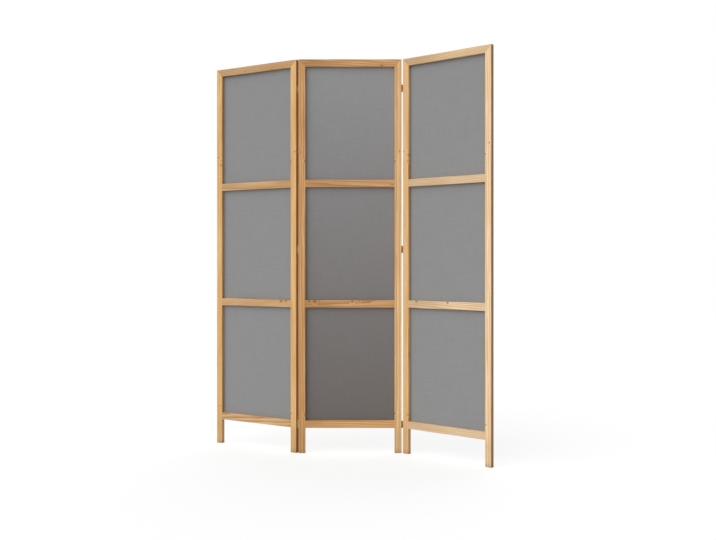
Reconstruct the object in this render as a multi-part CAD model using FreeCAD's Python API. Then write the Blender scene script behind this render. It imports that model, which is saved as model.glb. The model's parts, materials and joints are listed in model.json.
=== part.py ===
import FreeCAD, Part
import math
import os

# Folding screen: three equal pine panels hinged in a zigzag, each with three taut cloth fields.
# Millimetres and degrees, +Z up, front towards -Y. The origin is on the floor, at the plan's centre.

# Panel frame
PANEL_WIDTH = 450.0
PANEL_HEIGHT = 1720.0
FRAME_THICKNESS = 18.0
STILE_WIDTH = 30.0
RAIL_WIDTH = 32.0
LEG_HEIGHT = 110.0  # bare stile below the bottom rail
ARRIS_RADIUS = 1.0  # eased edges of every member

# Cloth fields, their edges held in grooves
CLOTH_THICKNESS = 0.8
CLOTH_FROM_BACK = 3.0  # back of the frame to the back of the cloth
CLOTH_TUCK = 6.0  # cloth edge inside the groove
GROOVE_SPARE_DEPTH = 1.0
GROOVE_SIDE_CLEARANCE = 0.1

# Dowels between rails and stiles, two at each rail end
DOWEL_DIAMETER = 6.0
DOWEL_LENGTH = 28.0
DOWEL_SPACING = 10.0
DOWEL_CHAMFER = 0.8
DOWEL_SIDE_CLEARANCE = 0.05
DOWEL_END_CLEARANCE = 0.5

# Butt hinges: on the right hinge line the leaves lie on the stile edges, on the left they are let in
HINGE_LENGTH = 30.0
LEAF_THICKNESS = 1.3
LEAF_WIDTH = 15.0  # hinge axis to the leaf's free edge
KNUCKLE_COUNT = 3
KNUCKLE_END_CLEARANCE = 0.3
NOTCH_CLEARANCE = 0.3  # round the other leaf's knuckle
ROLL_SEAM = 0.2  # where the rolled knuckle's end meets its leaf
PIN_DIAMETER = 3.2
PIN_CLEARANCE = 0.05  # radial, so that the knuckles turn
PIN_HEAD_DIAMETER = 4.8
PIN_HEAD_HEIGHT = 1.2
AXIS_PROUD = 1.0  # hinge axis beyond the faces that fold together
LEFT_GAP = 0.3  # between the panels at the left hinge line
SEAT_CLEARANCE = 0.3  # round a leaf that is let in, and round the barrel beside it
TOP_HINGE_DROP = 127.0  # top of the panel to the middle of the hinge
MIDDLE_HINGE_HEIGHT = 890.0

# Countersunk screws, two in each leaf
SCREW_DIAMETER = 3.0
SCREW_HEAD_DIAMETER = 5.4
SCREW_LENGTH = 13.0
SCREW_POINT_LENGTH = 3.0
SCREW_POINT_DIAMETER = 0.6
SCREW_SPACING = 17.0
SCREW_CLEARANCE = 0.05
RECESS_LENGTH = 2.8
RECESS_WIDTH = 0.7
RECESS_DEPTH = 0.8

# Standing pose: how far each wing is turned from the line of the middle panel
LEFT_TURN = 32.0  # outer end back
RIGHT_TURN = 40.0  # outer end forward

# Places that follow from the sizes, in a panel's own frame:
# x from its left edge, y from its front face, z from the floor
RAILS = ("bottom_rail", "lower_rail", "upper_rail", "top_rail")
FIELDS = ("bottom_cloth", "middle_cloth", "top_cloth")
FIELD_HEIGHT = (PANEL_HEIGHT - LEG_HEIGHT - len(RAILS) * RAIL_WIDTH) / len(FIELDS)
RAIL_PITCH = FIELD_HEIGHT + RAIL_WIDTH
RAIL_START = STILE_WIDTH
RAIL_END = PANEL_WIDTH - STILE_WIDTH
MID_THICKNESS = FRAME_THICKNESS / 2
CLOTH_BACK = FRAME_THICKNESS - CLOTH_FROM_BACK
CLOTH_FRONT = CLOTH_BACK - CLOTH_THICKNESS
BORE_RADIUS = PIN_DIAMETER / 2 + PIN_CLEARANCE
BARREL_RADIUS = BORE_RADIUS + LEAF_THICKNESS
RIGHT_GAP = 2 * BARREL_RADIUS  # between the panels at the right hinge line
HINGE_HEIGHTS = {
    "bottom": LEG_HEIGHT + RAIL_WIDTH / 2,
    "middle": MIDDLE_HINGE_HEIGHT,
    "top": PANEL_HEIGHT - TOP_HINGE_DROP,
}
LEFT_AXIS = FreeCAD.Vector(-LEFT_GAP / 2, FRAME_THICKNESS + AXIS_PROUD, 0)
RIGHT_AXIS = FreeCAD.Vector(PANEL_WIDTH + RIGHT_GAP / 2, -AXIS_PROUD, 0)
# The same two lines, seen from the wing that hangs on each
LEFT_WING_AXIS = FreeCAD.Vector(PANEL_WIDTH + LEFT_GAP / 2, FRAME_THICKNESS + AXIS_PROUD, 0)
RIGHT_WING_AXIS = FreeCAD.Vector(-RIGHT_GAP / 2, -AXIS_PROUD, 0)

X = FreeCAD.Vector(1, 0, 0)
Y = FreeCAD.Vector(0, 1, 0)
Z = FreeCAD.Vector(0, 0, 1)
ORIGIN = FreeCAD.Vector(0, 0, 0)


def block(x, y, z):
    """A block between two limits on each axis."""
    return Part.makeBox(x[1] - x[0], y[1] - y[0], z[1] - z[0], FreeCAD.Vector(x[0], y[0], z[0]))


def rail_bottom(index):
    return LEG_HEIGHT + index * RAIL_PITCH


def field_block(index, reach, side_clearance):
    """A cloth field, or the room for it, reaching into the frame all round."""
    return block(
        (RAIL_START - reach, RAIL_END + reach),
        (CLOTH_FRONT - side_clearance, CLOTH_BACK + side_clearance),
        (rail_bottom(index) + RAIL_WIDTH - reach, rail_bottom(index + 1) + reach),
    )


def grooves():
    reach = CLOTH_TUCK + GROOVE_SPARE_DEPTH
    return [field_block(index, reach, GROOVE_SIDE_CLEARANCE) for index in range(len(FIELDS))]


def dowel_rods(joint_x, side_clearance, end_clearance):
    """The dowels at one end of every rail, centred on the joint, or the holes for them."""
    length = DOWEL_LENGTH + 2 * end_clearance
    radius = DOWEL_DIAMETER / 2 + side_clearance
    rods = []
    for index in range(len(RAILS)):
        middle = rail_bottom(index) + RAIL_WIDTH / 2
        for height in (middle - DOWEL_SPACING / 2, middle + DOWEL_SPACING / 2):
            start = FreeCAD.Vector(joint_x - length / 2, MID_THICKNESS, height)
            rods.append(Part.makeCylinder(radius, length, start, X))
    return rods


def dowel_holes(joint_x):
    return dowel_rods(joint_x, DOWEL_SIDE_CLEARANCE, DOWEL_END_CLEARANCE)


def dowels():
    """Every dowel of one panel, with its two ends chamfered."""
    rods = dowel_rods(RAIL_START, 0, 0) + dowel_rods(RAIL_END, 0, 0)
    ends = [[edge for edge in rod.Edges if edge.Closed] for rod in rods]
    return Part.makeCompound([rod.makeChamfer(DOWEL_CHAMFER, end) for rod, end in zip(rods, ends)])


def stile(left_edge, holes):
    """A full-height upright, eased on every edge, with its grooves, dowel holes and screw holes."""
    bar = block((left_edge, left_edge + STILE_WIDTH), (0, FRAME_THICKNESS), (0, PANEL_HEIGHT))
    bar = bar.makeFillet(ARRIS_RADIUS, bar.Edges)
    return bar.cut(grooves() + holes)


def rail(index):
    """A cross member between the stiles, eased along its length."""
    bottom = rail_bottom(index)
    bar = block((RAIL_START, RAIL_END), (0, FRAME_THICKNESS), (bottom, bottom + RAIL_WIDTH))
    long_edges = [edge for edge in bar.Edges if edge.tangentAt(edge.FirstParameter).cross(X).Length < 0.5]
    bar = bar.makeFillet(ARRIS_RADIUS, long_edges)
    return bar.cut(grooves() + dowel_holes(RAIL_START) + dowel_holes(RAIL_END))


def screw_form(clearance):
    """A countersunk screw along +X from its head's face, or the hole that it leaves."""
    head = SCREW_HEAD_DIAMETER / 2 + clearance
    shank = SCREW_DIAMETER / 2 + clearance
    point = SCREW_POINT_DIAMETER / 2 + clearance
    outline = [
        (0, 0),
        (0, head),
        (head - shank, shank),
        (SCREW_LENGTH - SCREW_POINT_LENGTH, shank),
        (SCREW_LENGTH + clearance, point),
        (SCREW_LENGTH + clearance, 0),
        (0, 0),
    ]
    wire = Part.makePolygon([FreeCAD.Vector(along, out, 0) for along, out in outline])
    return Part.Face(wire).revolve(ORIGIN, X, 360)


def screw():
    """A screw with a cross recess in its head."""
    arm = RECESS_LENGTH / 2
    half = RECESS_WIDTH / 2
    depth = (0, RECESS_DEPTH)
    recess = [block(depth, (-arm, arm), (-half, half)), block(depth, (-half, half), (-arm, arm))]
    return screw_form(0).cut(recess)


def on_leaf(form):
    """Copies of a screw form at the leaf's screw places, in the hinge's own frame."""
    copies = []
    for height in (-SCREW_SPACING / 2, SCREW_SPACING / 2):
        copy = form.copy()
        copy.translate(FreeCAD.Vector(BORE_RADIUS, AXIS_PROUD + MID_THICKNESS, height))
        copies.append(copy)
    return copies


def rolled_profile():
    """Section of a leaf and its knuckle, bent from one strip round the axis at the origin.
    The leaf lies on the +X side and runs to +Y."""
    inner, outer = BORE_RADIUS, BARREL_RADIUS
    end = inner - ROLL_SEAM
    end_outer = FreeCAD.Vector(end, math.sqrt(outer**2 - end**2), 0)
    end_inner = FreeCAD.Vector(end, math.sqrt(inner**2 - end**2), 0)
    corners = [
        end_outer,
        end_inner,
        FreeCAD.Vector(inner, 0, 0),
        FreeCAD.Vector(inner, LEAF_WIDTH, 0),
        FreeCAD.Vector(outer, LEAF_WIDTH, 0),
        FreeCAD.Vector(outer, 0, 0),
    ]
    bore = Part.Arc(corners[1], FreeCAD.Vector(-inner, 0, 0), corners[2]).toShape()
    outside = Part.Arc(corners[5], FreeCAD.Vector(-outer, 0, 0), corners[0]).toShape()
    straight = [Part.makeLine(corners[a], corners[a + 1]) for a in (0, 2, 3, 4)]
    return Part.Face(Part.Wire([straight[0], bore, *straight[1:], outside]))


def leaf(first_knuckle):
    """A hinge leaf with every second knuckle, centred on the hinge's height."""
    bottom = -HINGE_LENGTH / 2
    pitch = (HINGE_LENGTH + KNUCKLE_END_CLEARANCE) / KNUCKLE_COUNT
    notch = BARREL_RADIUS + NOTCH_CLEARANCE
    plate = block((BORE_RADIUS, BARREL_RADIUS), (notch, LEAF_WIDTH), (bottom, -bottom))
    section = rolled_profile()
    knuckles = []
    for index in range(first_knuckle, KNUCKLE_COUNT, 2):
        knuckle = section.extrude(Z * (pitch - KNUCKLE_END_CLEARANCE))
        knuckle.translate(Z * (bottom + index * pitch))
        knuckles.append(knuckle)
    return plate.fuse(knuckles).removeSplitter().cut(on_leaf(screw_form(SCREW_CLEARANCE)))


def leaf_seat():
    """The room in a stile's edge for a leaf that is let in, and for the whole barrel beside it."""
    half = HINGE_LENGTH / 2 + SEAT_CLEARANCE
    leaf_room = block((0, BARREL_RADIUS), (0, LEAF_WIDTH + SEAT_CLEARANCE), (-half, half))
    reach = BARREL_RADIUS + SEAT_CLEARANCE
    barrel_half = half + PIN_HEAD_HEIGHT
    barrel_room = block((0, reach), (0, reach), (-barrel_half, barrel_half))
    return leaf_room.fuse(barrel_room).removeSplitter()


def pin():
    """The hinge pin, with a domed head at each end of the barrel."""
    half = HINGE_LENGTH / 2
    head = PIN_HEAD_DIAMETER / 2
    dome = (head**2 + PIN_HEAD_HEIGHT**2) / (2 * PIN_HEAD_HEIGHT)
    base_latitude = math.degrees(math.asin((dome - PIN_HEAD_HEIGHT) / dome))
    shaft = Part.makeCylinder(PIN_DIAMETER / 2, HINGE_LENGTH, Z * -half)
    cap = Part.makeSphere(dome, Z * (half + PIN_HEAD_HEIGHT - dome), Z, base_latitude, 90, 360)
    return shaft.fuse([cap, cap.mirror(ORIGIN, Z)]).removeSplitter()


def hinged(form, axis, faces_right, mirrored):
    """A form of the hinge's own frame set on a hinge line.
    Its stile is to the right of the line or to the left; the two leaves are mirror images."""
    copy = form.mirror(ORIGIN, Y) if mirrored else form.copy()
    if not faces_right:
        copy.rotate(ORIGIN, Z, 180)
    copy.translate(axis)
    return copy


def hinge_set(form, axis, faces_right, mirrored):
    """The form at every hinge of the line, by the hinge's name."""
    return {
        name: hinged(form, axis + Z * height, faces_right, mirrored)
        for name, height in HINGE_HEIGHTS.items()
    }


def panel(name, left_edge, right_edge):
    """The pieces of one panel. Each edge says how the hinge leaves sit on it: the hinge line,
    whether the leaf is mirrored and whether it is let in, or None on a free edge."""
    screw_pairs = Part.makeCompound(on_leaf(screw()))
    hole_pairs = Part.makeCompound(on_leaf(screw_form(SCREW_CLEARANCE)))
    seat = leaf_seat()
    screws = []
    holes = {}
    for edge, faces_right in ((left_edge, True), (right_edge, False)):
        holes[faces_right] = []
        if edge:
            axis, mirrored, let_in = edge
            screws += hinge_set(screw_pairs, axis, faces_right, mirrored).values()
            holes[faces_right] += hinge_set(hole_pairs, axis, faces_right, mirrored).values()
            if let_in:
                holes[faces_right] += hinge_set(seat, axis, faces_right, mirrored).values()
    pieces = {
        "left_stile": stile(0, dowel_holes(RAIL_START) + holes[True]),
        "right_stile": stile(RAIL_END, dowel_holes(RAIL_END) + holes[False]),
        "dowels": dowels(),
        "hinge_screws": Part.makeCompound([screw for pair in screws for screw in pair.Solids]),
    }
    for index, rail_name in enumerate(RAILS):
        pieces[rail_name] = rail(index)
    for index, field_name in enumerate(FIELDS):
        pieces[field_name] = field_block(index, CLOTH_TUCK, 0)
    return {f"{name}_{piece}": shape for piece, shape in pieces.items()}


def turned(axis, wing_axis, turn):
    """Where a wing's own frame lies when its hinge line is on the middle panel's."""
    rotation = FreeCAD.Rotation(Z, -turn)
    return FreeCAD.Placement(axis - rotation.multVec(wing_axis), rotation)


# Leaves: the middle panel's have the outer knuckles, the wings' the one between them
inner_leaf = leaf(0)
outer_leaf = leaf(1)
hinge_pin = pin()


def hinge_pieces(side, kind, shapes):
    return {f"{side}_{height}_hinge_{kind}": shape for height, shape in shapes.items()}


middle_pieces = {
    **panel("middle_panel", (LEFT_AXIS, True, True), (RIGHT_AXIS, True, False)),
    **hinge_pieces("left", "inner_leaf", hinge_set(inner_leaf, LEFT_AXIS, True, True)),
    **hinge_pieces("right", "inner_leaf", hinge_set(inner_leaf, RIGHT_AXIS, False, True)),
    **hinge_pieces("left", "pin", hinge_set(hinge_pin, LEFT_AXIS, True, False)),
    **hinge_pieces("right", "pin", hinge_set(hinge_pin, RIGHT_AXIS, True, False)),
}
left_pieces = {
    **panel("left_panel", None, (LEFT_WING_AXIS, False, True)),
    **hinge_pieces("left", "outer_leaf", hinge_set(outer_leaf, LEFT_WING_AXIS, False, False)),
}
right_pieces = {
    **panel("right_panel", (RIGHT_WING_AXIS, False, False), None),
    **hinge_pieces("right", "outer_leaf", hinge_set(outer_leaf, RIGHT_WING_AXIS, True, False)),
}

# The wings turned on their hinge lines, and the whole screen centred over the origin
assembly = dict(middle_pieces)
for pieces, place in (
    (left_pieces, turned(LEFT_AXIS, LEFT_WING_AXIS, LEFT_TURN)),
    (right_pieces, turned(RIGHT_AXIS, RIGHT_WING_AXIS, RIGHT_TURN)),
):
    for name, shape in pieces.items():
        shape.Placement = place.multiply(shape.Placement)
        assembly[name] = shape
plan = Part.makeCompound(list(assembly.values())).BoundBox
to_origin = FreeCAD.Vector(-plan.Center.x, -plan.Center.y, 0)

os.makedirs("parts", exist_ok=True)
for name, shape in assembly.items():
    shape.translate(to_origin)
    shape.exportStep(os.path.join("parts", f"{name}.step"))

print("nodes:", len(assembly), "solids:", sum(len(shape.Solids) for shape in assembly.values()))
print("all valid:", all(shape.isValid() for shape in assembly.values()))
print("size:", plan.XLength, plan.YLength, plan.ZLength)
print("left hinge line:", LEFT_AXIS + to_origin)
print("right hinge line:", RIGHT_AXIS + to_origin)
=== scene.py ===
import json
import math
import random

import bmesh
import bpy
from mathutils import Matrix, Vector, noise


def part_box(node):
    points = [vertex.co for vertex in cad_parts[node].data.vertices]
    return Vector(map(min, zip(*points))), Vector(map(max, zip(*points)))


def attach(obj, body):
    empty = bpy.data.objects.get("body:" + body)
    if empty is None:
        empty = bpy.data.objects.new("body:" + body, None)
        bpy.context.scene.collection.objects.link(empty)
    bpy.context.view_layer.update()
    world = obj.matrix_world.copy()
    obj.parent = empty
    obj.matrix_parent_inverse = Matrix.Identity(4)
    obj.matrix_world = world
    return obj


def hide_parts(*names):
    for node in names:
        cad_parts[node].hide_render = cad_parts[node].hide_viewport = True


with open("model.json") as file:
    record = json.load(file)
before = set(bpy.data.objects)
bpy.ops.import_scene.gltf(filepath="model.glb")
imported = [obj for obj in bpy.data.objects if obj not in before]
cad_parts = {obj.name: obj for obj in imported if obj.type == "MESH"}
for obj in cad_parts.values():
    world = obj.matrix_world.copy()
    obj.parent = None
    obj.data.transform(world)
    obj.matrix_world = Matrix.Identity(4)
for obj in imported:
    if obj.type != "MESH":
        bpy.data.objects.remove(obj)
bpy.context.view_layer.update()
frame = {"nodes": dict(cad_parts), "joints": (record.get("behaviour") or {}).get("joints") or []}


# Stiles and rails: eighteen bars of planed pine, 18 mm thick, two full-height stiles to a panel with four
# rails dowelled and glued to them, the top one mitred and the others butted. The arrises are eased by hand,
# and the wood is clear oiled.
turns = {"middle_panel": 0.0}
for joint in frame["joints"]:
    # A wing's lowest joint angle brings it into line with the middle panel
    turns[joint["child"]] = math.radians(joint["range_deg"][0])

STILE_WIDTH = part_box("middle_panel_left_stile")[1].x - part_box("middle_panel_left_stile")[0].x
RAIL_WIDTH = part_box("middle_panel_top_rail")[1].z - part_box("middle_panel_top_rail")[0].z

# Each bar's tone, and which cut of such a board it is: another number gives it other rings
BOARDS = {
    "left_panel_left_stile": ("honey", 8),
    "left_panel_right_stile": ("honey", 5),
    "left_panel_top_rail": ("tan", 13),
    "left_panel_upper_rail": ("tan", 4),
    "left_panel_lower_rail": ("tan", 10),
    "left_panel_bottom_rail": ("tan", 1),
    "middle_panel_left_stile": ("amber", 19),
    "middle_panel_right_stile": ("blond", 15),
    "middle_panel_top_rail": ("russet", 18),
    "middle_panel_upper_rail": ("russet", 6),
    "middle_panel_lower_rail": ("russet", 17),
    "middle_panel_bottom_rail": ("amber", 3),
    "right_panel_left_stile": ("wheat", 18),
    "right_panel_right_stile": ("cream", 18),
    "right_panel_top_rail": ("oat", 14),
    "right_panel_upper_rail": ("straw", 9),
    "right_panel_lower_rail": ("straw", 6),
    "right_panel_bottom_rail": ("straw", 10),
}
# Sawn boards differ in tone, so each has its own pale early wood and darker late wood
EARLY_WOOD = {
    "cream": "#FADEB8", "straw": "#E8D0AE", "oat": "#E0C6A1", "blond": "#F6D09D", "wheat": "#F1CA95",
    "honey": "#EDC58C", "amber": "#E8B881", "russet": "#E2B382", "tan": "#DAB486",
}
LATE_WOOD = {
    "cream": "#DDB07A", "straw": "#CAA06E", "oat": "#C29763", "blond": "#D9A266", "wheat": "#CF9859",
    "honey": "#C68E4B", "amber": "#BD8141", "russet": "#B87F43", "tan": "#AC7B46",
}
# Late wood comes on slowly between these shares of a ring's width, and then stops short
LATE_START, LATE_END, LATE_SHARE = 0.3, 0.95, 0.9
# Real rings here are 2 to 4 mm wide, drawn about twice as coarse so that they show as streaks in the render
NARROW_RING, WIDE_RING = 0.0048, 0.0072
# At scale 1 the bands of a wave texture lie this far apart
WAVE_SPACING = math.pi / 10
# The pith runs outside the bar. The grain leans out of line by some degrees, more in rails than in stiles
PITH_NEAR, PITH_FAR = 0.035, 0.075
RAIL_LEAN, STILE_LEAN = 1.8, 0.5
# Rings waver, in waves drawn out along the grain
RING_WAVER, WAVER_STRETCH = 5.0, 14
# How far along its patterns a bar may start, so that no two bars are alike
RING_START, FIBRE_START = 3, 9
# Real fibres are under 0.1 mm wide, drawn coarser to show in the render
FIBRE_WIDTH, FIBRE_LENGTH = 0.0022, 0.11
# Most of a noise lies between these two levels
NOISE_LOW, NOISE_HIGH = 0.3, 0.7
FIBRE_DARK, FIBRE_LIGHT = 0.86, 1.08
# Slow changes of tone, as wide as a bar and as long as a hand's span
BLOTCH_WIDTH, BLOTCH_LENGTH = 0.03, 0.22
BLOTCH_LOW, BLOTCH_SHARE = 0.35, 0.45
# A rail's tone also drifts along it: how bright its left end and its right half are, against the board's own
DRIFT = {
    "left_panel_top_rail": (0.88, 0.97),
    "left_panel_upper_rail": (1.0, 1.04),
    "left_panel_lower_rail": (1.03, 1.02),
    "left_panel_bottom_rail": (0.94, 1.05),
    "middle_panel_top_rail": (0.83, 1.13),
    "middle_panel_upper_rail": (0.91, 1.0),
    "middle_panel_lower_rail": (0.85, 1.04),
    "middle_panel_bottom_rail": (0.93, 1.05),
    "right_panel_top_rail": (0.83, 1.08),
    "right_panel_upper_rail": (0.88, 1.02),
    "right_panel_lower_rail": (0.89, 1.1),
    "right_panel_bottom_rail": (0.92, 1.01),
}
DRIFT_START, DRIFT_END = -0.17, 0.04
# Knots, in millimetres from a bar's middle: right along a rail or up a stile, then down a rail's face or
# right across a stile's, and the knot's radius
KNOTS = {
    "left_panel_left_stile": [(-687, 9, 2), (420, 10, 3), (442, 11, 2), (457, -7, 2)],
    "left_panel_right_stile": [(-688, -12, 2), (416, -12, 2), (458, 6, 2)],
    "left_panel_top_rail": [(-60, 7, 2), (92, 11, 2)],
    "left_panel_lower_rail": [(143, -10, 4), (170, -11, 3)],
    "middle_panel_left_stile": [(-692, 11, 2), (415, 12, 2), (455, -6, 2)],
    "middle_panel_right_stile": [(-686, -12, 2), (415, -12, 2), (458, 8, 2)],
    "middle_panel_top_rail": [(138, 11, 3)],
    "middle_panel_upper_rail": [(184, 4, 2)],
    "middle_panel_lower_rail": [(-178, -10, 3), (-155, -11, 4), (10, -12, 3), (40, -12, 2)],
    "right_panel_left_stile": [(-690, 10, 2), (413, 11, 2), (440, 13, 2), (457, -8, 2)],
    "right_panel_right_stile": [(-688, -12, 2), (415, -13, 2), (460, 5, 2)],
    "right_panel_lower_rail": [(-152, -12, 3), (10, -12, 3)],
}
KNOT_HEART, KNOT_RIM = "#6E4220", "#B27238"
# A knot runs right through its bar and is longer along the grain
KNOT_DEPTH, KNOT_STRETCH = 10, 1.5
# How many radii from its middle a knot's heart and rim begin to fade and are gone, and their strength
HEART_START, HEART_END, HEART_SHARE = 0.3, 1.1, 0.95
RIM_START, RIM_END, RIM_SHARE = 0.7, 2.4, 0.6
# The rings bend round a knot, out to so many radii
BEND_REACH, RING_BEND = 5.0, 11.0
# Painted shade browns the outer edge of a stile, most of all on the free stiles that the wings are moved by
EDGE_SHADE_BROWN = "#84521A"
EDGE_SHADE_REACH, EDGE_SHADE_FULL = 0.0018, 0.0003
FREE_STILES = ("left_panel_left_stile", "right_panel_right_stile")
FREE_EDGE_SHADE, HINGED_EDGE_SHADE = 0.75, 0.4
# Painted shade near the floor darkens the legs a little below the bottom rail, and the feet more
LEG_SHADE_GREY = "#8C7458"
LEG_SHADE_TOP, LEG_SHADE_FULL, LEG_SHADE_SHARE = 0.13, 0.085, 0.2
FOOT_SHADE_TOP, FOOT_SHADE_FULL, FOOT_SHADE_SHARE = 0.021, 0.004, 0.42
# Oil that has soaked in leaves a low sheen, duller along the fibres, which stand a little proud
SHEEN_SMOOTH, SHEEN_ROUGH = 0.42, 0.56
GRAIN_RELIEF = 0.0003
# A colour Mix node's sockets share their names with its other kinds, so they go by number
SHARE, UNDER, OVER, MIXED = 0, 6, 7, 2
# Points nearer to each other than this count as one
SAME_POINT = 0.000002
# The sharp tips of a mitred rail are eased by hand
EASED_TIP = 0.0006
# Faces that meet at more than this keep a crisp edge
CREASE = math.radians(40)


def linear(hex_colour):
    """An sRGB hex colour as linear RGBA."""
    channels = [int(hex_colour[i : i + 2], 16) / 255 for i in (1, 3, 5)]
    return [c / 12.92 if c <= 0.04045 else ((c + 0.055) / 1.055) ** 2.4 for c in channels] + [1.0]


def add(tree, kind, inputs=None, **settings):
    """Adds a node with its settings, and a value or a link on each input named."""
    node = tree.nodes.new(kind)
    for name, value in settings.items():
        setattr(node, name, value)
    for socket, value in (inputs or {}).items():
        if isinstance(value, bpy.types.NodeSocket):
            tree.links.new(value, node.inputs[socket])
        else:
            node.inputs[socket].default_value = value
    return node


def start_material(name):
    """A new material, its node tree and its shader's inputs."""
    material = bpy.data.materials.new(name)
    material.use_nodes = True
    tree = material.node_tree
    return material, tree, tree.nodes["Principled BSDF"].inputs


def oiled_pine(member, turn):
    """Clear-oiled pine: streaks along the bar, darker late wood, a few knots, painted shade on edges and
    legs, low sheen.
    """
    tone, cut = BOARDS[member]
    chance = random.Random(f"{member} {cut}")
    low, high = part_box(member)
    is_rail = member.endswith("rail")
    material, tree, shader = start_material("oiled_pine_" + member)

    # The bar's own directions: across its face, through its thickness and along its grain, from its middle
    spot = add(tree, "ShaderNodeTexCoord").outputs["Object"]
    spin = (0, math.pi / 2, turn) if is_rail else (0, 0, turn)
    bar = add(tree, "ShaderNodeMapping", {"Vector": spot, "Location": (low + high) / 2, "Rotation": spin},
              vector_type="TEXTURE").outputs[0]

    # Knots: a dark heart with a reddish rim, which the rings bend round
    bend, heart, rim = 0.0, None, None
    for along, across, radius in KNOTS.get(member, ()):
        size = radius / 1000
        near = add(tree, "ShaderNodeMapping",
                   {"Vector": bar, "Location": (across / 1000, 0, along / 1000),
                    "Scale": (size, KNOT_DEPTH, KNOT_STRETCH * size)},
                   vector_type="TEXTURE").outputs[0]
        away = add(tree, "ShaderNodeVectorMath", {0: near}, operation="LENGTH").outputs["Value"]
        push = add(tree, "ShaderNodeMapRange",
                   {"Value": away, "From Min": 0.0, "From Max": BEND_REACH, "To Min": RING_BEND,
                    "To Max": 0.0}, interpolation_type="SMOOTHERSTEP").outputs[0]
        core = add(tree, "ShaderNodeMapRange",
                   {"Value": away, "From Min": HEART_START, "From Max": HEART_END, "To Min": HEART_SHARE,
                    "To Max": 0.0}, interpolation_type="SMOOTHSTEP").outputs[0]
        edge = add(tree, "ShaderNodeMapRange",
                   {"Value": away, "From Min": RIM_START, "From Max": RIM_END, "To Min": RIM_SHARE,
                    "To Max": 0.0}, interpolation_type="SMOOTHSTEP").outputs[0]
        if heart is None:
            bend, heart, rim = push, core, edge
        else:
            bend = add(tree, "ShaderNodeMath", {0: bend, 1: push}, operation="ADD").outputs[0]
            heart = add(tree, "ShaderNodeMath", {0: heart, 1: core}, operation="MAXIMUM").outputs[0]
            rim = add(tree, "ShaderNodeMath", {0: rim, 1: edge}, operation="MAXIMUM").outputs[0]

    # Growth rings round the pith, a little out of line with the bar
    side = chance.uniform(0, 2 * math.pi)
    reach = chance.uniform(PITH_NEAR, PITH_FAR)
    slope = RAIL_LEAN if is_rail else STILE_LEAN
    lean = (math.radians(chance.uniform(-slope, slope)), math.radians(chance.uniform(-slope, slope)), 0)
    ring_width = chance.uniform(NARROW_RING, WIDE_RING)
    pith = (reach * math.cos(side), reach * math.sin(side), chance.uniform(-RING_START, RING_START))
    from_pith = add(tree, "ShaderNodeMapping",
                    {"Vector": bar, "Rotation": lean, "Scale": (1, 1, WAVER_STRETCH), "Location": pith},
                    vector_type="TEXTURE").outputs[0]
    rings = add(tree, "ShaderNodeTexWave",
                {"Vector": from_pith, "Scale": WAVE_SPACING / ring_width, "Distortion": RING_WAVER,
                 "Detail": 2.0, "Detail Scale": 0.7, "Phase Offset": bend},
                wave_type="RINGS", rings_direction="Z", wave_profile="SAW").outputs["Fac"]
    late = add(tree, "ShaderNodeMapRange",
               {"Value": rings, "From Min": LATE_START, "From Max": LATE_END, "To Min": 0.0,
                "To Max": LATE_SHARE}).outputs[0]
    wood = add(tree, "ShaderNodeMix",
               {SHARE: late, UNDER: linear(EARLY_WOOD[tone]), OVER: linear(LATE_WOOD[tone])},
               data_type="RGBA").outputs[MIXED]

    # Fibres and slow changes of tone, both drawn out along the grain
    start = [chance.uniform(-FIBRE_START, FIBRE_START) for axis in "xyz"]
    strands = add(tree, "ShaderNodeMapping",
                  {"Vector": bar, "Location": start, "Scale": (FIBRE_WIDTH, FIBRE_WIDTH, FIBRE_LENGTH)},
                  vector_type="TEXTURE").outputs[0]
    fibre = add(tree, "ShaderNodeTexNoise", {"Vector": strands, "Scale": 1.0, "Detail": 3.0}).outputs["Fac"]
    grey = add(tree, "ShaderNodeMapRange",
               {"Value": fibre, "From Min": NOISE_LOW, "From Max": NOISE_HIGH, "To Min": FIBRE_DARK,
                "To Max": FIBRE_LIGHT}).outputs[0]
    if is_rail:
        along = add(tree, "ShaderNodeSeparateXYZ", {0: bar}).outputs["Z"]
        left_end, right_half = DRIFT[member]
        drift = add(tree, "ShaderNodeMapRange",
                    {"Value": along, "From Min": DRIFT_START, "From Max": DRIFT_END, "To Min": left_end,
                     "To Max": right_half}, interpolation_type="SMOOTHSTEP").outputs[0]
        grey = add(tree, "ShaderNodeMath", {0: grey, 1: drift}, operation="MULTIPLY").outputs[0]
    wood = add(tree, "ShaderNodeMix", {SHARE: 1.0, UNDER: wood, OVER: grey}, data_type="RGBA",
               blend_type="MULTIPLY").outputs[MIXED]
    patches = add(tree, "ShaderNodeMapping",
                  {"Vector": bar, "Location": start, "Scale": (BLOTCH_WIDTH, BLOTCH_WIDTH, BLOTCH_LENGTH)},
                  vector_type="TEXTURE").outputs[0]
    blotch = add(tree, "ShaderNodeTexNoise", {"Vector": patches, "Scale": 1.0, "Detail": 2.0}).outputs["Fac"]
    warm = add(tree, "ShaderNodeMapRange",
               {"Value": blotch, "From Min": BLOTCH_LOW, "From Max": NOISE_HIGH, "To Min": 0.0,
                "To Max": BLOTCH_SHARE}).outputs[0]
    coats = [(warm, LATE_WOOD[tone])]
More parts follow.
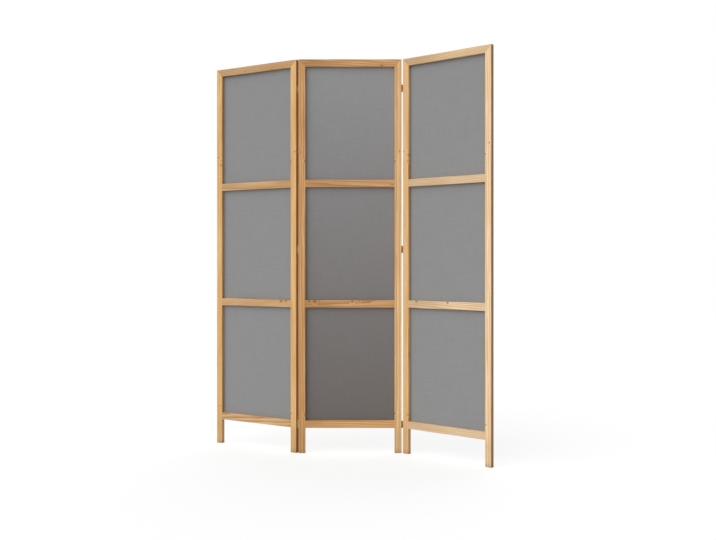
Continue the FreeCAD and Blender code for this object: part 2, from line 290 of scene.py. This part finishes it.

    # Painted shade darkens a stile's leg near the floor and most at its foot, and browns its outer edge
    if not is_rail:
        height = add(tree, "ShaderNodeSeparateXYZ", {0: spot}).outputs["Z"]
        leg_shade = add(tree, "ShaderNodeMapRange",
                   {"Value": height, "From Min": LEG_SHADE_FULL, "From Max": LEG_SHADE_TOP, "To Min": LEG_SHADE_SHARE,
                    "To Max": 0.0}).outputs[0]
        foot_shade = add(tree, "ShaderNodeMapRange",
                    {"Value": height, "From Min": FOOT_SHADE_FULL, "From Max": FOOT_SHADE_TOP, "To Min": FOOT_SHADE_SHARE,
                     "To Max": 0.0}).outputs[0]
        outward = -1 if member.endswith("left_stile") else 1
        across = add(tree, "ShaderNodeVectorMath", {0: bar, 1: (outward, 0, 0)},
                     operation="DOT_PRODUCT").outputs["Value"]
        # Painted shade along the stile's outer edge
        edge_shade = add(tree, "ShaderNodeMapRange",
                      {"Value": across, "From Min": STILE_WIDTH / 2 - EDGE_SHADE_REACH,
                       "From Max": STILE_WIDTH / 2 - EDGE_SHADE_FULL, "To Min": 0.0,
                       "To Max": FREE_EDGE_SHADE if member in FREE_STILES else HINGED_EDGE_SHADE}).outputs[0]
        coats += [(leg_shade, LEG_SHADE_GREY), (foot_shade, LEG_SHADE_GREY), (edge_shade, EDGE_SHADE_BROWN)]
    if member in KNOTS:
        coats += [(rim, KNOT_RIM), (heart, KNOT_HEART)]
    for share, colour in coats:
        wood = add(tree, "ShaderNodeMix", {SHARE: share, UNDER: wood, OVER: linear(colour)},
                   data_type="RGBA").outputs[MIXED]
    tree.links.new(wood, shader["Base Color"])

    sheen = add(tree, "ShaderNodeMapRange",
                {"Value": fibre, "From Min": NOISE_LOW, "From Max": NOISE_HIGH, "To Min": SHEEN_SMOOTH,
                 "To Max": SHEEN_ROUGH}).outputs[0]
    tree.links.new(sheen, shader["Roughness"])
    shader["IOR"].default_value = 1.5
    shader["Specular IOR Level"].default_value = 0.2
    relief = add(tree, "ShaderNodeMath", {0: late, 1: fibre}, operation="ADD").outputs[0]
    ridges = add(tree, "ShaderNodeBump",
                 {"Height": relief, "Strength": 0.3, "Distance": GRAIN_RELIEF}).outputs[0]
    tree.links.new(ridges, shader["Normal"])
    return material


def dress(node, material):
    """Gives a CAD node a material in place of its plain one."""
    materials = frame["nodes"][node].data.materials
    materials.clear()
    materials.append(material)


def standing_place(node, turn):
    """Where the middle of a node stands, turned with its panel."""
    low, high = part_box(node)
    return Matrix.Translation((low + high) / 2) @ Matrix.Rotation(turn, 4, "Z")


def smooth_piece(name, shape):
    """Turns a finished mesh into a smooth-shaded piece of the scene."""
    mesh = bpy.data.meshes.new(name)
    shape.to_mesh(mesh)
    shape.free()
    mesh.shade_smooth()
    piece = bpy.data.objects.new(name, mesh)
    bpy.context.scene.collection.objects.link(piece)
    return piece


def saw(bar, point, waste):
    """Cuts a bar across at a point, takes the end on the waste side away and closes the cut."""
    bmesh.ops.bisect_plane(bar, geom=bar.verts[:] + bar.edges[:] + bar.faces[:], dist=SAME_POINT,
                           plane_co=point, plane_no=waste, clear_outer=True)
    cut_edges = [edge for edge in bar.edges if edge.is_boundary]
    bmesh.ops.triangle_fill(bar, use_beauty=True, edges=cut_edges)
    bmesh.ops.dissolve_degenerate(bar, dist=SAME_POINT, edges=bar.edges)


def mitred_bar(member, turn):
    """A copy of a stile or top rail, cut to meet its neighbour from the field's corner to the panel's."""
    low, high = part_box(member)
    place = standing_place(member, turn)
    bar = bmesh.new()
    bar.from_mesh(frame["nodes"][member].data)
    bmesh.ops.remove_doubles(bar, verts=bar.verts, dist=SAME_POINT)
    bar.transform(place.inverted())
    if member.endswith("rail"):
        # The rail's square ends lean out over the stiles
        half_length = max(vertex.co.x for vertex in bar.verts)
        for vertex in bar.verts:
            if abs(vertex.co.x) > half_length - SAME_POINT:
                run = (vertex.co.z + RAIL_WIDTH / 2) * STILE_WIDTH / RAIL_WIDTH
                vertex.co.x += math.copysign(run, vertex.co.x)
        for end in (-1, 1):
            saw(bar, (end * (half_length + STILE_WIDTH - EASED_TIP), 0, RAIL_WIDTH / 2), (end, 0, 1))
    else:
        inward = 1 if member.endswith("left_stile") else -1
        shoulder = (high.z - low.z) / 2 - RAIL_WIDTH
        saw(bar, (inward * STILE_WIDTH / 2, 0, shoulder), (inward * RAIL_WIDTH, 0, STILE_WIDTH))
    bmesh.ops.recalc_face_normals(bar, faces=bar.faces)
    bar.transform(place)
    piece = smooth_piece(member + "_mitred", bar)
    # The flat faces keep their own shading, and only the eased arrises are rounded
    piece.data.set_sharp_from_angle(angle=CREASE)
    piece.modifiers.new("flat_faces", "WEIGHTED_NORMAL").keep_sharp = True
    return piece


for member in BOARDS:
    panel = member.split("_panel_")[0] + "_panel"
    wood = oiled_pine(member, turns[panel])
    if member.endswith(("stile", "top_rail")):
        piece = mitred_bar(member, turns[panel])
        piece.data.materials.append(wood)
        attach(piece, panel)
        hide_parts(member)
    else:
        dress(member, wood)


# Dowels: sixteen plain beech pegs to a panel, two at each rail end, turned smooth with chamfered ends.
# They are glued into blind holes in stile and rail, so they show only when the frame is taken apart.
BEECH, BEECH_FLECK = "#D9B48C", "#B98A5C"
# Beech rays are about 0.5 mm wide, drawn at 1.5 mm
FLECK_WIDTH = 0.0015
FLECK_START, FLECK_END = 0.5, 0.75
FLECK_RELIEF = 0.0002


def turned_beech():
    """Turned beech: an even pinkish tan with short darker flecks, dry and unpolished."""
    material, tree, shader = start_material("turned_beech")
    spot = add(tree, "ShaderNodeTexCoord").outputs["Object"]
    fleck = add(tree, "ShaderNodeTexNoise",
                {"Vector": spot, "Scale": 1 / FLECK_WIDTH, "Detail": 2.0}).outputs["Fac"]
    share = add(tree, "ShaderNodeMapRange",
                {"Value": fleck, "From Min": FLECK_START, "From Max": FLECK_END}).outputs[0]
    wood = add(tree, "ShaderNodeMix", {SHARE: share, UNDER: linear(BEECH), OVER: linear(BEECH_FLECK)},
               data_type="RGBA").outputs[MIXED]
    tree.links.new(wood, shader["Base Color"])
    ridges = add(tree, "ShaderNodeBump",
                 {"Height": fleck, "Strength": 0.2, "Distance": FLECK_RELIEF}).outputs[0]
    tree.links.new(ridges, shader["Normal"])
    shader["Roughness"].default_value = 0.6
    shader["IOR"].default_value = 1.5
    return material


beech = turned_beech()
for panel in turns:
    dress(panel + "_dowels", beech)


# Cloth fields: three to a panel, plain-woven matt grey polyester, stretched drum tight when the frame is
# glued up. All four edges sit 6 mm deep in grooves in the stiles and rails, 14 mm behind the front face.
CLOTH_THICKNESS = 0.0006
# The sheet's mesh is about 8 mm fine, which is enough for its puckers
CLOTH_COLUMNS, CLOTH_ROWS = 50, 62
# The cloth lies flat in its groove and a little beyond, and comes free over the next stretch
HELD_FLAT, HELD_FADE = 0.007, 0.012
# The weave pulls into faint puckers near the grooves that hold it
PUCKER_DEPTH = 0.0004
PUCKER_WIDTH = 0.034
PUCKER_FADE = 0.03
# How far along the pucker pattern an edge may start, so that no two edges are alike
PUCKER_START = 50
BELLY_DEPTH = 0.0005
# Each panel's grey at the top and at the bottom, with painted shade darkening the middle panel's downwards
# The middle panel's grey is also painted lighter, making up for the lamp lighting it less than the wings
CLOTH_GREY_AND_SHADE = {"left_panel": ("#909090", "#909090"), "middle_panel": ("#A0A0A1", "#77716E"),
              "right_panel": ("#909090", "#909090")}
# Threads are 0.4 mm apart, drawn at 1.6 mm, and the slubs, thicker lengths of thread, at 3 mm
THREAD_SPACING = 0.0016
SLUB_WIDTH, SLUB_LENGTH = 0.003, 0.09
# The slubs of both ways of thread add up to a level between these, and change the grey by this much
SLUB_LOW, SLUB_HIGH = 0.7, 1.3
SLUB_DARK, SLUB_LIGHT = 0.955, 1.045
# Painted shade in the hollows between threads, and painted highlight on their tops
HOLLOW_SHADE, THREAD_HIGHLIGHT = 0.96, 1.02
WEAVE_RELIEF = 0.0002
FIELD_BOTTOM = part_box("middle_panel_bottom_cloth")[0].z
FIELD_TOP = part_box("middle_panel_top_cloth")[1].z
# The rails above and below each field
FIELD_RAILS = {"top": ("top", "upper"), "middle": ("upper", "lower"), "bottom": ("lower", "bottom")}


def woven_cloth(panel):
    """Plain-woven polyester: dead matt, even grey with a hint of crossed threads.

    The middle panel's cloth is painted lighter to make up for less lamp light, and darker downwards as
    painted shade.
    """
    material, tree, shader = start_material("matt_woven_cloth_" + panel)
    spot = add(tree, "ShaderNodeTexCoord").outputs["Object"]
    cloth = add(tree, "ShaderNodeMapping", {"Vector": spot, "Rotation": (0, 0, turns[panel])},
                vector_type="TEXTURE").outputs[0]
    threads = {"Vector": cloth, "Scale": WAVE_SPACING / THREAD_SPACING}
    warp = add(tree, "ShaderNodeTexWave", threads, bands_direction="X").outputs["Fac"]
    weft = add(tree, "ShaderNodeTexWave", threads, bands_direction="Z").outputs["Fac"]
    weave = add(tree, "ShaderNodeMath", {0: warp, 1: weft}, operation="MULTIPLY").outputs[0]
    upright = add(tree, "ShaderNodeMapping", {"Vector": cloth, "Scale": (SLUB_WIDTH, 1, SLUB_LENGTH)},
                  vector_type="TEXTURE").outputs[0]
    level = add(tree, "ShaderNodeMapping", {"Vector": cloth, "Scale": (SLUB_LENGTH, 1, SLUB_WIDTH)},
                vector_type="TEXTURE").outputs[0]
    upright = add(tree, "ShaderNodeTexNoise", {"Vector": upright, "Scale": 1.0, "Detail": 1.0}).outputs["Fac"]
    level = add(tree, "ShaderNodeTexNoise", {"Vector": level, "Scale": 1.0, "Detail": 1.0}).outputs["Fac"]
    slubs = add(tree, "ShaderNodeMath", {0: upright, 1: level}, operation="ADD").outputs[0]

    # Painted light and shade: the middle panel's grey is lighter overall and darkens towards the bottom
    top, bottom = (linear(colour) for colour in CLOTH_GREY_AND_SHADE[panel])
    height = add(tree, "ShaderNodeSeparateXYZ", {0: cloth}).outputs["Z"]
    share = add(tree, "ShaderNodeMapRange",
                {"Value": height, "From Min": FIELD_BOTTOM, "From Max": FIELD_TOP}).outputs[0]
    grey_and_shade = add(tree, "ShaderNodeMix", {SHARE: share, UNDER: bottom, OVER: top},
              data_type="RGBA").outputs[MIXED]
    thread = add(tree, "ShaderNodeMapRange",
                 {"Value": slubs, "From Min": SLUB_LOW, "From Max": SLUB_HIGH, "To Min": SLUB_DARK,
                  "To Max": SLUB_LIGHT}).outputs[0]
    weave_shade = add(tree, "ShaderNodeMapRange",
                 {"Value": weave, "To Min": HOLLOW_SHADE, "To Max": THREAD_HIGHLIGHT}).outputs[0]
    for shade in (thread, weave_shade):
        grey_and_shade = add(tree, "ShaderNodeMix", {SHARE: 1.0, UNDER: grey_and_shade, OVER: shade}, data_type="RGBA",
                  blend_type="MULTIPLY").outputs[MIXED]
    tree.links.new(grey_and_shade, shader["Base Color"])
    relief = add(tree, "ShaderNodeMath", {0: weave, 1: slubs}, operation="ADD").outputs[0]
    ridges = add(tree, "ShaderNodeBump",
                 {"Height": relief, "Strength": 0.25, "Distance": WEAVE_RELIEF}).outputs[0]
    tree.links.new(ridges, shader["Normal"])
    shader["Roughness"].default_value = 0.95
    shader["IOR"].default_value = 1.45
    shader["Specular IOR Level"].default_value = 0.2
    return material


def cloth_field(name, place, width, length):
    """A thin stretched sheet, slightly puckered round its edges and very slightly bellied, at its place."""
    chance = random.Random(name)
    shift = [chance.uniform(-PUCKER_START, PUCKER_START) for edge in range(4)]
    belly = chance.uniform(-1, 1) * BELLY_DEPTH
    sheet = bmesh.new()
    layers = []
    for side in (-1, 1):
        grid = []
        for row in range(CLOTH_ROWS + 1):
            up = length * (row / CLOTH_ROWS - 0.5)
            line = []
            for column in range(CLOTH_COLUMNS + 1):
                across = width * (column / CLOTH_COLUMNS - 0.5)
                inset = (width / 2 + across, width / 2 - across, length / 2 + up, length / 2 - up)
                free = min(1.0, max(0.0, (min(inset) - HELD_FLAT) / HELD_FADE))
                depth = belly * math.cos(math.pi * across / width) * math.cos(math.pi * up / length)
                for edge, run in enumerate((up, up, across, across)):
                    fade = math.exp(-inset[edge] / PUCKER_FADE)
                    depth += PUCKER_DEPTH * fade * noise.noise((run / PUCKER_WIDTH, shift[edge], 0.5))
                through = free * depth + side * CLOTH_THICKNESS / 2
                line.append(sheet.verts.new(place @ Vector((across, through, up))))
            grid.append(line)
        layers.append(grid)
    front, back = layers
    for row in range(CLOTH_ROWS):
        for column in range(CLOTH_COLUMNS):
            corners = ((row, column), (row, column + 1), (row + 1, column + 1), (row + 1, column))
            sheet.faces.new([front[r][c] for r, c in corners])
            sheet.faces.new([back[r][c] for r, c in reversed(corners)])
    # The cut edge, once round
    rim = [(0, c) for c in range(CLOTH_COLUMNS)]
    rim += [(r, CLOTH_COLUMNS) for r in range(CLOTH_ROWS)]
    rim += [(CLOTH_ROWS, c) for c in range(CLOTH_COLUMNS, 0, -1)]
    rim += [(r, 0) for r in range(CLOTH_ROWS, 0, -1)]
    for (r, c), (s, d) in zip(rim, rim[1:] + rim[:1]):
        sheet.faces.new((front[r][c], back[r][c], back[s][d], front[s][d]))
    return smooth_piece(name, sheet)


middle_low, middle_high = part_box("middle_panel_middle_cloth")
cloth_width, cloth_length = middle_high.x - middle_low.x, middle_high.z - middle_low.z
for panel, turn in turns.items():
    cloth = woven_cloth(panel)
    for field, (above, below) in FIELD_RAILS.items():
        node = f"{panel}_{field}_cloth"
        place = standing_place(node, turn)
        piece = cloth_field(f"{panel}_{field}_field", place, cloth_width, cloth_length)
        piece.data.materials.append(cloth)
        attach(piece, panel)
        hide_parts(node)


# Hinges: six small butt hinges of 1.3 mm pressed brass plate, three on each side of the middle panel. Each
# leaf is rolled round the pin into knuckles, two on the middle panel's leaf and one on the wing's.
BRASS, TARNISH = "#957648", "#5A4427"
# The left hinges are let in, deep in the joint's shade, and their brass is painted lighter to stand in for
# light there
GAP_LIT_BRASS, GAP_LIT_TARNISH = "#F0D9A6", "#D2B47C"
TARNISH_SIZE = 0.006
# The levels of the patch pattern at which tarnish and its dullness begin and are full
TARNISH_START, TARNISH_END = 0.4, 0.65
DULL_START, DULL_END, TARNISH_DULLS = 0.35, 0.7, 0.18
# Rolling marks are about 0.05 mm apart, drawn at 0.8 mm
ROLLING_MARK, MARK_LENGTH = 0.0008, 0.02
MARK_RELIEF = 0.0001
HINGE_HEIGHTS = ("bottom", "middle", "top")


def aged_brass(name, bright, dark, roughness):
    """Unlacquered brass: darker patches of tarnish, fine rolling marks and a broad soft highlight."""
    material, tree, shader = start_material(name)
    spot = add(tree, "ShaderNodeTexCoord").outputs["Object"]
    stain = add(tree, "ShaderNodeTexNoise",
                {"Vector": spot, "Scale": 1 / TARNISH_SIZE, "Detail": 4.0}).outputs["Fac"]
    share = add(tree, "ShaderNodeMapRange",
                {"Value": stain, "From Min": TARNISH_START, "From Max": TARNISH_END}).outputs[0]
    metal = add(tree, "ShaderNodeMix", {SHARE: share, UNDER: linear(bright), OVER: linear(dark)},
                data_type="RGBA").outputs[MIXED]
    tree.links.new(metal, shader["Base Color"])
    gloss = add(tree, "ShaderNodeMapRange",
                {"Value": stain, "From Min": DULL_START, "From Max": DULL_END, "To Min": roughness,
                 "To Max": roughness + TARNISH_DULLS}).outputs[0]
    tree.links.new(gloss, shader["Roughness"])
    marks = add(tree, "ShaderNodeMapping",
                {"Vector": spot, "Scale": (MARK_LENGTH, MARK_LENGTH, ROLLING_MARK)},
                vector_type="TEXTURE").outputs[0]
    marks = add(tree, "ShaderNodeTexNoise", {"Vector": marks, "Scale": 1.0, "Detail": 2.0}).outputs["Fac"]
    ridges = add(tree, "ShaderNodeBump",
                 {"Height": marks, "Strength": 0.15, "Distance": MARK_RELIEF}).outputs[0]
    tree.links.new(ridges, shader["Normal"])
    shader["Metallic"].default_value = 1.0
    return material


# The left hinges' brass is painted light, brighter than the right ones'
plates = {"left": aged_brass("gap_lit_rolled_brass", GAP_LIT_BRASS, GAP_LIT_TARNISH, roughness=0.55),
          "right": aged_brass("dull_rolled_brass", BRASS, TARNISH, roughness=0.38)}
for side, plate in plates.items():
    for height in HINGE_HEIGHTS:
        for leaf in ("inner_leaf", "outer_leaf"):
            dress(f"{side}_{height}_hinge_{leaf}", plate)


# Hinge pins and screws: drawn brass wire pins with peened domes, and small countersunk cross-head screws,
# two to a leaf, driven flush into the edges of the stiles. All are smoother than the rolled plate.
WIRE_BRASS, WIRE_TARNISH = "#BE9A5C", "#7E6238"
wire = aged_brass("drawn_brass", WIRE_BRASS, WIRE_TARNISH, roughness=0.3)
for panel in turns:
    dress(f"{panel}_hinge_screws", wire)
for side in plates:
    for height in HINGE_HEIGHTS:
        dress(f"{side}_{height}_hinge_pin", wire)


# Studio: a seamless matt white floor that throws some light up, a broad soft lamp high on the left, a
# weaker one behind and an even fill. The camera stands level at the photograph's place, a little right of
# the middle panel's centre.
FLOOR_HALF = 9.0
# The paint is a mid grey that glows up to white where it is looked at, so that the shadow on it stays soft
FLOOR_GREY = "#8A8A8A"
# Where it is not looked at, the floor still glows faintly: painted light that lights the screen from below
FLOOR_GLOW, FLOOR_UPLIGHT_GLOW = 0.75, 0.35
WHITE = (1, 1, 1, 1)
FILL = 0.3
# Each lamp's level, and in degrees its softness and its place to the left of the front and above the floor
LAMPS = {"front_lamp": (2.32, 75, 50, 38), "back_lamp": (1.6, 70, 190, 42)}
CAMERA_RIGHT = 0.035
CAMERA_BACK = 4.091
CAMERA_HEIGHT = 0.842
# The lens and its sensor in millimetres, and the shift in widths of the picture
LENS, SENSOR = 47.11, 36.0
CAMERA_SHIFT = -0.01347


def looked_at(tree):
    """1 where a backdrop is looked at, straight or in metal or glass, and 0 where it only lights things."""
    ray = add(tree, "ShaderNodeLightPath").outputs
    seen = ray["Is Camera Ray"]
    for kind in ("Is Glossy Ray", "Is Transmission Ray"):
        seen = add(tree, "ShaderNodeMath", {0: seen, 1: ray[kind]}, operation="MAXIMUM").outputs[0]
    return seen


ground = bpy.data.meshes.new("floor")
ground.from_pydata([(-FLOOR_HALF, -FLOOR_HALF, 0), (FLOOR_HALF, -FLOOR_HALF, 0), (FLOOR_HALF, FLOOR_HALF, 0),
                    (-FLOOR_HALF, FLOOR_HALF, 0)], [], [(0, 1, 2, 3)])
floor = bpy.data.objects.new("floor", ground)
bpy.context.scene.collection.objects.link(floor)
floor_paint, tree, shader = start_material("matt_white_floor_paint")
glow = add(tree, "ShaderNodeMapRange",
           {"Value": looked_at(tree), "To Min": FLOOR_UPLIGHT_GLOW, "To Max": FLOOR_GLOW}).outputs[0]
tree.links.new(glow, shader["Emission Strength"])
shader["Emission Color"].default_value = WHITE
shader["Base Color"].default_value = linear(FLOOR_GREY)
shader["Roughness"].default_value = 0.9
shader["Specular IOR Level"].default_value = 0.0
ground.materials.append(floor_paint)

world = bpy.data.worlds.new("white_studio")
bpy.context.scene.world = world
world.use_nodes = True
tree = world.node_tree
background = tree.nodes["Background"].inputs
strength = add(tree, "ShaderNodeMapRange",
               {"Value": looked_at(tree), "To Min": FILL, "To Max": 1.0}).outputs[0]
tree.links.new(strength, background["Strength"])
background["Color"].default_value = WHITE

for name, (level, softness, left, up) in LAMPS.items():
    lamp = bpy.data.objects.new(name, bpy.data.lights.new(name, "SUN"))
    lamp.data.energy = level
    lamp.data.angle = math.radians(softness)
    left, up = math.radians(left), math.radians(up)
    to_lamp = Vector((-math.sin(left) * math.cos(up), -math.cos(left) * math.cos(up), math.sin(up)))
    lamp.rotation_euler = to_lamp.to_track_quat("Z", "Y").to_euler()
    bpy.context.scene.collection.objects.link(lamp)

camera = bpy.data.objects.new("camera", bpy.data.cameras.new("camera"))
camera.data.sensor_width = SENSOR
camera.data.lens = LENS
camera.data.shift_y = CAMERA_SHIFT
rail_low, rail_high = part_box("middle_panel_top_rail")
camera.location = ((rail_low.x + rail_high.x) / 2 + CAMERA_RIGHT, rail_low.y - CAMERA_BACK, CAMERA_HEIGHT)
camera.rotation_euler = (math.radians(90), 0, 0)
bpy.context.scene.collection.objects.link(camera)
bpy.context.scene.camera = camera
bpy.context.scene.view_settings.view_transform = "Standard"
